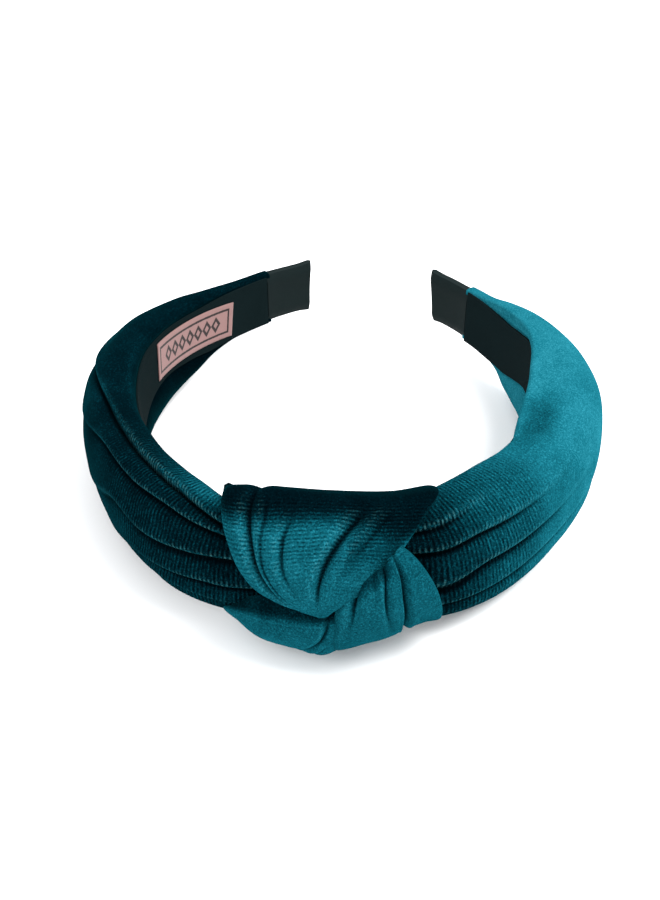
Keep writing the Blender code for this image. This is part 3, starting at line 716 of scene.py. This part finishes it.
LEFT_TURN = (
    ((-11.0, -5.8, -9.4), (-13.4, -6.2, -11.2), (-14.8, -5.2, -12.2), (-15.4, -3.2, -13.2),
     (-14.0, -0.8, -14.0), (-12.2, 0.2, -14.0), (-11.8, 0.0, -13.6)),
    ((-11.6, -6.8, -8.6), (-15.0, -8.2, -10.6), (-16.8, -7.6, -11.8), (-17.6, -4.8, -13.6),
     (-15.6, -1.2, -14.8), (-13.2, 0.4, -14.6), (-12.4, 0.2, -13.6)),
    ((-6.6, -12.0, -1.4), (-9.0, -14.4, -5.2), (-11.2, -14.0, -9.2), (-11.8, -10.6, -13.6),
     (-10.4, -4.4, -16.4), (-8.8, -0.1, -15.6), (-8.0, -0.4, -12.4)),
    ((-1.0, -16.0, 2.0), (-3.0, -18.4, -1.6), (-4.5, -19.0, -7.4), (-4.8, -14.4, -14.6),
     (-3.8, -6.0, -17.6), (-3.0, -0.9, -16.6), (-3.0, -0.6, -12.4)),
    ((4.0, -17.5, 4.2), (4.0, -20.6, 0.6), (3.6, -21.2, -6.0), (4.0, -16.0, -15.2),
     (4.0, -7.0, -18.2), (4.0, -1.4, -17.2), (4.0, -0.6, -12.4)),
    ((11.5, -18.0, 4.8), (12.2, -21.4, 2.0), (12.6, -22.4, -4.0), (12.6, -17.4, -14.6),
     (12.0, -8.4, -18.2), (12.0, -1.2, -17.4), (12.0, -0.3, -12.4)),
    ((17.5, -15.4, 4.0), (18.4, -18.6, 1.0), (18.8, -18.8, -3.8), (18.6, -13.8, -12.2),
     (18.0, -7.0, -16.0), (17.6, -0.2, -15.8), (17.4, 1.4, -12.4)),
)
RIGHT_TURN_PLACES = ((0.0, 0.09, 0.26, 0.46, 0.62, 0.76, 0.93, 1.0),
                     (0.0, 0.12, 0.28, 0.48, 0.68, 0.84, 0.95, 1.0))
RIGHT_TURN = (
    ((15.6, -16.6, 9.0), (15.4, -19.2, 6.4), (15.2, -19.6, 2.6), (14.2, -18.8, -5.0),
     (12.6, -13.4, -13.2), (13.0, -7.0, -16.6), (14.6, -0.4, -16.0), (15.4, 0.8, -12.4)),
    ((17.4, -17.4, 11.6), (17.2, -21.2, 8.2), (17.2, -22.2, 3.6), (16.0, -21.8, -5.0),
     (14.2, -15.4, -14.4), (14.6, -7.8, -17.6), (15.8, -0.8, -16.6), (16.4, 1.2, -12.4)),
    ((22.4, -17.8, 15.0), (23.4, -21.4, 12.8), (24.3, -23.0, 7.8), (24.2, -21.4, -1.0),
     (23.4, -13.8, -12.0), (22.6, -6.2, -15.6), (22.0, 1.2, -16.2), (22.0, 2.8, -12.4)),
    ((26.4, -15.8, 17.8), (28.2, -18.8, 16.0), (29.3, -20.4, 10.2), (29.8, -18.2, 0.6),
     (29.2, -11.0, -11.2), (27.6, -3.6, -14.2), (26.6, 3.6, -15.0), (26.6, 5.2, -12.4)),
    ((28.4, -13.4, 19.2), (31.0, -15.8, 15.8), (32.6, -16.8, 9.0), (33.2, -14.4, -0.2),
     (31.8, -8.4, -11.2), (30.2, -1.0, -13.8), (29.6, 5.8, -13.8), (29.6, 7.4, -11.6)),
    ((29.4, -11.6, 20.2), (33.3, -13.4, 17.2), (36.8, -13.6, 9.6), (38.2, -11.2, -0.8),
     (36.2, -6.6, -9.6), (33.6, 0.8, -12.0), (33.0, 8.2, -12.8), (32.8, 9.8, -11.0)),
    ((29.8, -10.0, 19.8), (33.8, -11.2, 17.2), (38.4, -10.8, 9.8), (41.0, -8.0, -0.6),
     (40.6, -4.8, -8.2), (37.5, 2.5, -11.5), (35.8, 9.8, -12.0), (35.2, 11.2, -10.6)),
    ((29.4, -8.6, 19.0), (33.0, -9.0, 16.2), (37.2, -8.2, 9.4), (39.4, -5.6, -0.4),
     (39.0, -3.0, -7.2), (36.2, 3.6, -10.0), (34.6, 9.6, -10.8), (34.4, 10.6, -10.2)),
)
FAN_CREASES = (
    (((0.0, 0.28, 0.0), (0.16, 0.28, 0.3), (0.28, 0.27, 0.5), (0.43, 0.235, 0.9), (0.59, 0.225, 1.1),
      (0.73, 0.215, 1.1), (0.84, 0.21, 1.0), (0.93, 0.17, 0.6), (1.0, 0.15, 0.0)), 1.4, 0.015),
    (((0.0, 0.30, 0.0), (0.30, 0.31, 0.1), (0.43, 0.30, 0.7), (0.59, 0.275, 0.8), (0.73, 0.265, 0.9),
      (0.84, 0.265, 0.7), (0.93, 0.26, 0.0), (1.0, 0.26, 0.0)), 0.4, 0.012),
    (((0.0, 0.40, 0.0), (0.40, 0.40, 0.0), (0.50, 0.375, 0.7), (0.59, 0.355, 1.0), (0.73, 0.35, 0.8),
      (0.84, 0.36, 0.4), (0.93, 0.38, 0.0), (1.0, 0.4, 0.0)), 0.8, 0.013),
    (((0.0, 0.66, 0.0), (0.36, 0.655, 0.0), (0.46, 0.625, 0.8), (0.55, 0.585, 1.1), (0.66, 0.545, 1.2),
      (0.75, 0.515, 1.1), (0.86, 0.49, 0.8), (0.95, 0.48, 0.0), (1.0, 0.5, 0.0)), 2.0, 0.022),
    (((0.0, 0.78, 0.0), (0.34, 0.77, 0.0), (0.46, 0.745, 0.6), (0.60, 0.70, 0.6), (0.75, 0.66, 0.2),
      (1.0, 0.65, 0.0)), 0.8, 0.03),
)
LEFT_TURN_CREASES = (
    (((0.0, 0.90, 0.2), (0.20, 0.88, 0.7), (0.34, 0.84, 0.9), (0.44, 0.76, 0.7), (0.54, 0.68, 0.0),
      (1.0, 0.7, 0.0)), 1.2, 0.020),
    (((0.0, 0.92, 0.0), (0.36, 0.90, 0.0), (0.44, 0.84, 0.7), (0.52, 0.78, 0.4), (0.60, 0.74, 0.0),
      (1.0, 0.7, 0.0)), 0.6, 0.014),
)
RIGHT_TURN_CREASES = (
    (((0.0, 0.62, 0.3), (0.12, 0.62, 0.7), (0.3, 0.615, 1.0), (0.6, 0.615, 1.1), (0.75, 0.62, 0.6),
      (1.0, 0.62, 0.0)), 1.7, 0.015),
    (((0.0, 0.44, 0.5), (0.12, 0.43, 0.9), (0.3, 0.42, 0.8), (0.5, 0.44, 0.4), (0.7, 0.46, 0.0),
      (1.0, 0.46, 0.0)), 1.3, 0.020),
    (((0.0, 0.18, 0.9), (0.12, 0.17, 1.0), (0.28, 0.16, 0.7), (0.42, 0.15, 0.3), (0.52, 0.14, 0.0),
      (1.0, 0.12, 0.0)), 1.2, 0.020),
    (((0.0, 0.32, 0.2), (0.12, 0.32, 0.5), (0.26, 0.30, 0.1), (0.4, 0.30, 0.0), (1.0, 0.3, 0.0)),
     0.8, 0.02),
)


def fan_painted_light(a, b):
    """Painted light and shade on the fan: dark on top and bright down the front, by how each part faces the
    light, darker over a panel on its right, and a painted highlight along the right rim.
    """
    start = 0.37 + 0.09 * smooth(a, 0.55, 0.85)
    front = smooth(b, start, start + 0.17)
    panel = smooth(a, 0.60, 0.66) * (1.0 - smooth(b, 0.60, 0.80)) * (1.0 - smooth(a, 0.86, 0.94))
    rim = bump_at(a, 0.95, 0.03) * smooth(b, 0.30, 0.42)
    return 0.13 + 0.52 * front - 0.20 * panel * front + 0.22 * rim


def fan_ribs(a, b):
    """Ribs show across the fan's upper front."""
    return 0.75 * smooth(b, 0.32, 0.42) * (1.0 - 0.7 * smooth(b, 0.60, 0.85))


def left_turn_painted_light(a, b):
    # Painted shadow along the top edge where the lower left turn goes under the fan; the rest is bright.
    return 0.64 - 0.34 * (1.0 - smooth(b, 0.10, 0.20)) + 0.04 * bump_at(b, 0.45, 0.1)


def right_turn_painted_light(a, b):
    # Painted shadow along the top edge under the fan, on its left part; the rest is bright.
    return 0.62 - 0.28 * (1.0 - smooth(b, 0.02, 0.16)) * (1.0 - smooth(a, 0.45, 0.6))


def build_knot(velvet):
    """The upper fan over the two lower turns."""
    fan = knot_fold("knot_fan", FAN, FAN_PLACES, FAN_CREASES, fan_painted_light, fan_ribs, velvet)
    left = knot_fold("knot_left_turn", LEFT_TURN, LEFT_TURN_PLACES, LEFT_TURN_CREASES,
                     left_turn_painted_light, lambda a, b: 0.3 * bump_at(b, 0.18, 0.08), velvet)
    right = knot_fold("knot_right_turn", RIGHT_TURN, RIGHT_TURN_PLACES, RIGHT_TURN_CREASES,
                      right_turn_painted_light, lambda a, b: 0.12 + 0.0 * b, velvet)
    for piece, node in ((fan, "knot_upper_fold"), (left, "knot_lower_left_fold"),
                        (right, "knot_lower_right_fold")):
        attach(piece, "crown")
        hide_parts(node)
    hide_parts("velvet_crown", "knot_inner_fold")


# ---------------------------------------------------------------- lining, tips and label

def lining_shape(s):
    """Middle height and half width of the lining ribbon at each place."""
    left, right = along_keys(LEFT_LINING, np.abs(s)), along_keys(RIGHT_LINING, np.abs(s))
    return np.where((s < 0.0)[:, None], left, right).T


STRIP_COLUMNS = 14


def strip(name, start, end, layers, shape, material, rows=160, slant=0.0, hollow=0.0, thin=0.0):
    """A closed flat strip along the band with softly uneven edges. layers gives n of its inner
    and outer face, shape its middle height and half width, at each place. Towards its end the
    strip's cut is slanted by slant and hollowed by hollow, and thin takes cloth off its edges."""
    s = np.linspace(start, end, rows)
    t = np.linspace(-1.0, 1.0, STRIP_COLUMNS)
    middle, half = shape(s)
    upper = half + 0.25 * wobble(s * 0.16, s * 0.0, 21)
    lower = half + 0.25 * wobble(s * 0.16, s * 0.0, 4)
    z = middle[:, None] + np.where(t[None, :] > 0.0, upper[:, None], lower[:, None]) * t[None, :]
    lie = 0.08 * wobble(s[:, None] * 0.12, t[None, :] * 1.5, 5)
    reach = (slant * t + math.copysign(hollow, start) * (t * t - 1.0))[None, :]
    along = s[:, None] + reach * smooth(np.abs(s), abs(start), abs(end))[:, None]
    inner, outer = layers(np.abs(s))
    edge = thin * smooth(np.abs(t), 0.72, 1.0)[None, :]
    faces_out = band_points(along, outer[:, None] + lie, z)
    faces_in = band_points(along, inner[:, None] + edge + lie, z)
    points = np.concatenate([faces_in, faces_out[:, ::-1]], axis=1)
    if start > end:
        points = points[:, ::-1]
    around = np.concatenate([(t + 1.0) * TIP_HALF, 2 * TIP_HALF + 0.5 + (t + 1.0) * TIP_HALF,
                             [4 * TIP_HALF + 1.0]])
    uv = np.stack(np.meshgrid(around, np.abs(s), indexing="xy"), axis=-1)
    piece = cloth_grid(name, points, uv, {"crease_shade": 1.0}, material, closed=True)
    piece.data.set_sharp_from_angle(angle=math.radians(50.0))
    return piece


def build_lining(ribbon):
    """The lining in two strips that meet behind the knot."""
    end = HALF_LENGTH - TIP_WRAP_LENGTH - 0.3
    for name, body, start, stop in (("lining_strip_left", "left_arm", KNOT_MIDDLE, -end),
                                    ("lining_strip_right", "right_arm", KNOT_MIDDLE, end)):
        piece = strip(name, start, stop, lambda s: (0.0 * s, 0.5 + 0.0 * s), lining_shape, ribbon)
        blend_at_hinge(piece, body, LINING_BLEND)
        lining_area(start, stop) * MM * MM
        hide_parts("lining_left" if body == "left_arm" else "lining_right",
                    "lining_crown")


def lining_area(start, stop):
    """The area of the lining between two places, in square millimetres."""
    s = np.linspace(start, stop, 200)
    return float(2.0 * lining_shape(s)[1].mean() * abs(stop - start))


def blend_at_hinge(piece, body, spread):
    """Apply the piece's transform to its mesh. The places a bend across the arm's hinge would span are
    worked out, but the piece is not bent.
    """
    hinge = HINGE_LEFT if body == "left_arm" else HINGE_RIGHT
    way = -1.0 if body == "left_arm" else 1.0
    start = band_points(hinge - way * spread, HINGE_DEPTH, 0.0)
    end = band_points(hinge + way * spread, HINGE_DEPTH, 0.0)
    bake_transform(piece)


def tip_layers(s):
    """The ribbon wrapped round the core's end, pressed flat beyond it."""
    press = smooth(s, HALF_LENGTH - 0.1, HALF_LENGTH + TIP_OVERHANG)
    step = smooth(s, HALF_LENGTH - TIP_WRAP_LENGTH, HALF_LENGTH - TIP_WRAP_LENGTH + 5.0)
    return 0.05 + 0.25 * step + 1.6 * press, 4.3 - 0.2 * step - 0.8 * press


def tip_shape(s):
    """Middle height and half width of the tip ribbon, a little wider at its end."""
    flare = 0.5 * smooth(np.abs(s), HALF_LENGTH - 5.0, HALF_LENGTH + TIP_OVERHANG)
    return 0.0 * s, TIP_HALF - 0.5 + flare + 0.15 * wobble(s * 0.25, s * 0.0, 12)


def build_tips(ribbon):
    """The ribbon pocket on each end of the core, each one cut a little differently."""
    for side, body, node, slant in ((-1.0, "left_arm", "tip_wrap_left", -0.4),
                                    (1.0, "right_arm", "tip_wrap_right", 1.2)):
        start = side * (HALF_LENGTH - TIP_WRAP_LENGTH)
        stop = side * (HALF_LENGTH + TIP_OVERHANG)
        piece = strip(node + "_ribbon", start, stop, tip_layers, tip_shape, ribbon, rows=60,
                      slant=slant, hollow=0.4, thin=1.2)
        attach(piece, body)
        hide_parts(node)
        soften = piece.modifiers.new("soft_edges", "BEVEL")
        soften.width = 0.35 * MM
        soften.segments = 3
        soften.limit_method = "ANGLE"


def build_label():
    """The small label, laid on the left arm's lining."""
    length, height = LABEL_SIZE
    u = np.linspace(-0.5, 0.5, 60) * length
    v = np.linspace(-0.5, 0.5, 24) * height
    uu, vv = np.meshgrid(u, v, indexing="ij")
    s = LABEL_PLACE - (uu * math.cos(LABEL_TILT) - vv * math.sin(LABEL_TILT))
    z = LABEL_HEIGHT + uu * math.sin(LABEL_TILT) + vv * math.cos(LABEL_TILT)
    turned_ends = 0.12 * bump_at(np.abs(uu), length / 2, 1.2)
    n = -LABEL_THICKNESS - turned_ends - 0.08 * wobble(uu * 0.3, vv * 0.5, 9)
    points = band_points(s, n, z)
    uv = np.stack([uu + length / 2, vv + height / 2], axis=-1)
    piece = cloth_grid("woven_label", points, uv, {"crease_shade": 1.0}, label_material())
    thicken(piece, LABEL_THICKNESS)
    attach(piece, "left_arm")
    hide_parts("label")


def build_sleeves(velvet):
    """Both sleeves, each running from its arm into the crown under the knot."""
    left = sleeve("velvet_left", -1.0, LEFT_KEYS, LEFT_LINING, LEFT_CREASES, left_painted_light, left_ribs,
                  velvet)
    right = sleeve("velvet_right", 1.0, RIGHT_KEYS, RIGHT_LINING, RIGHT_CREASES, right_painted_light,
                   right_ribs, velvet, right_extra)
    for piece, body, node, pad, slot in (
            (left, "left_arm", "velvet_sleeve_left", "foam_pad_left", "velvet_dark"),
            (right, "right_arm", "velvet_sleeve_right", "foam_pad_right", "velvet_bright")):
        blend_at_hinge(piece, body, SLEEVE_BLEND)
        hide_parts(node, pad)


def dress_inner_nodes():
    """Materials for the CAD nodes that stay: core, adhesive and thread."""
    looks = {
        "core": plain_material("core_plastic", (0.016, 0.017, 0.018), 0.45, 300.0, 0.00002),
        "glue": plain_material("set_adhesive", (0.62, 0.55, 0.38), 0.35, 500.0, 0.00005),
        "knot_tack": plain_material("tack_thread", (0.006, 0.05, 0.055), 0.7, 4000.0, 0.00005),
    }
    for node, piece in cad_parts.items():
        for start, material in looks.items():
            if node.startswith(start):
                piece.data.materials.clear()
                piece.data.materials.append(material)


# ---------------------------------------------------------------- camera, floor and light

CAMERA_PLACE = (44.58, -196.75, 191.4)
CAMERA_LENS = 41.37
CAMERA_AZIMUTH, CAMERA_ELEVATION = math.radians(9.81), math.radians(37.33)
FLOOR_REACH = 6.0
FLOOR_GAP = 0.2
LIGHT_AIM = (0.0, 0.06, 0.0)


def build_camera():
    """The view from in front and above, turned a little to the knot's side."""
    data = bpy.data.cameras.new("camera")
    data.sensor_fit = "VERTICAL"
    data.sensor_height = 36.0
    data.sensor_width = 36.0
    data.lens = CAMERA_LENS
    data.clip_start = 0.01
    data.clip_end = 50.0
    camera = bpy.data.objects.new("camera", data)
    bpy.context.scene.collection.objects.link(camera)
    level = math.cos(CAMERA_ELEVATION)
    back = Vector((math.sin(CAMERA_AZIMUTH) * level, -math.cos(CAMERA_AZIMUTH) * level,
                   math.sin(CAMERA_ELEVATION)))
    right = Vector((math.cos(CAMERA_AZIMUTH), math.sin(CAMERA_AZIMUTH), 0.0))
    up = back.cross(right)
    turn = Matrix((right, up, back)).transposed().to_4x4()
    camera.matrix_world = Matrix.Translation(Vector(CAMERA_PLACE) * MM) @ turn
    bpy.context.scene.camera = camera


def build_floor():
    """Plain white paper, which is stage and no part of the object."""
    m = Nodes("studio_paper")
    m.set(Base_Color=m.colour(m.noise(3.0, 2.0), (0.90, 0.90, 0.90), (0.93, 0.93, 0.93)),
          Roughness=0.9)
    mesh = bpy.data.meshes.new("floor")
    height = (REST_Z - FLOOR_GAP) * MM
    corners = ((-1, -1), (1, -1), (1, 1), (-1, 1))
    mesh.from_pydata([(x * FLOOR_REACH, y * FLOOR_REACH, height) for x, y in corners],
                     [], [(0, 1, 2, 3)])
    mesh.materials.append(m.material)
    floor = bpy.data.objects.new("floor", mesh)
    bpy.context.scene.collection.objects.link(floor)


def build_lights():
    """An even white surround, a key light from the right and a weaker fill from the left."""
    world = bpy.data.worlds.new("studio")
    world.use_nodes = True
    background = world.node_tree.nodes["Background"]
    background.inputs["Color"].default_value = (0.96, 0.98, 1.0, 1.0)
    background.inputs["Strength"].default_value = 1.35
    bpy.context.scene.world = world
    for name, place, size, power in (("key", (0.45, 0.05, 0.80), 0.5, 12.0),
                                     ("fill", (-0.6, -0.5, 0.6), 0.6, 4.0)):
        data = bpy.data.lights.new(name, "AREA")
        data.size = size
        data.energy = power
        light = bpy.data.objects.new(name, data)
        light.location = place
        aim = Vector(LIGHT_AIM) - Vector(place)
        light.rotation_euler = aim.to_track_quat("-Z", "Y").to_euler()
        bpy.context.scene.collection.objects.link(light)
    bpy.context.scene.view_settings.view_transform = "Standard"


build_camera()
build_floor()
build_lights()
velvet = velvet_material("teal_velvet")
build_sleeves(velvet)
build_knot(velvet)
build_lining(ribbon_material("lining_ribbon", LINING_TONE, 0.05))
build_tips(ribbon_material("tip_ribbon", TIP_TONE, 1.0))
build_label()
dress_inner_nodes()
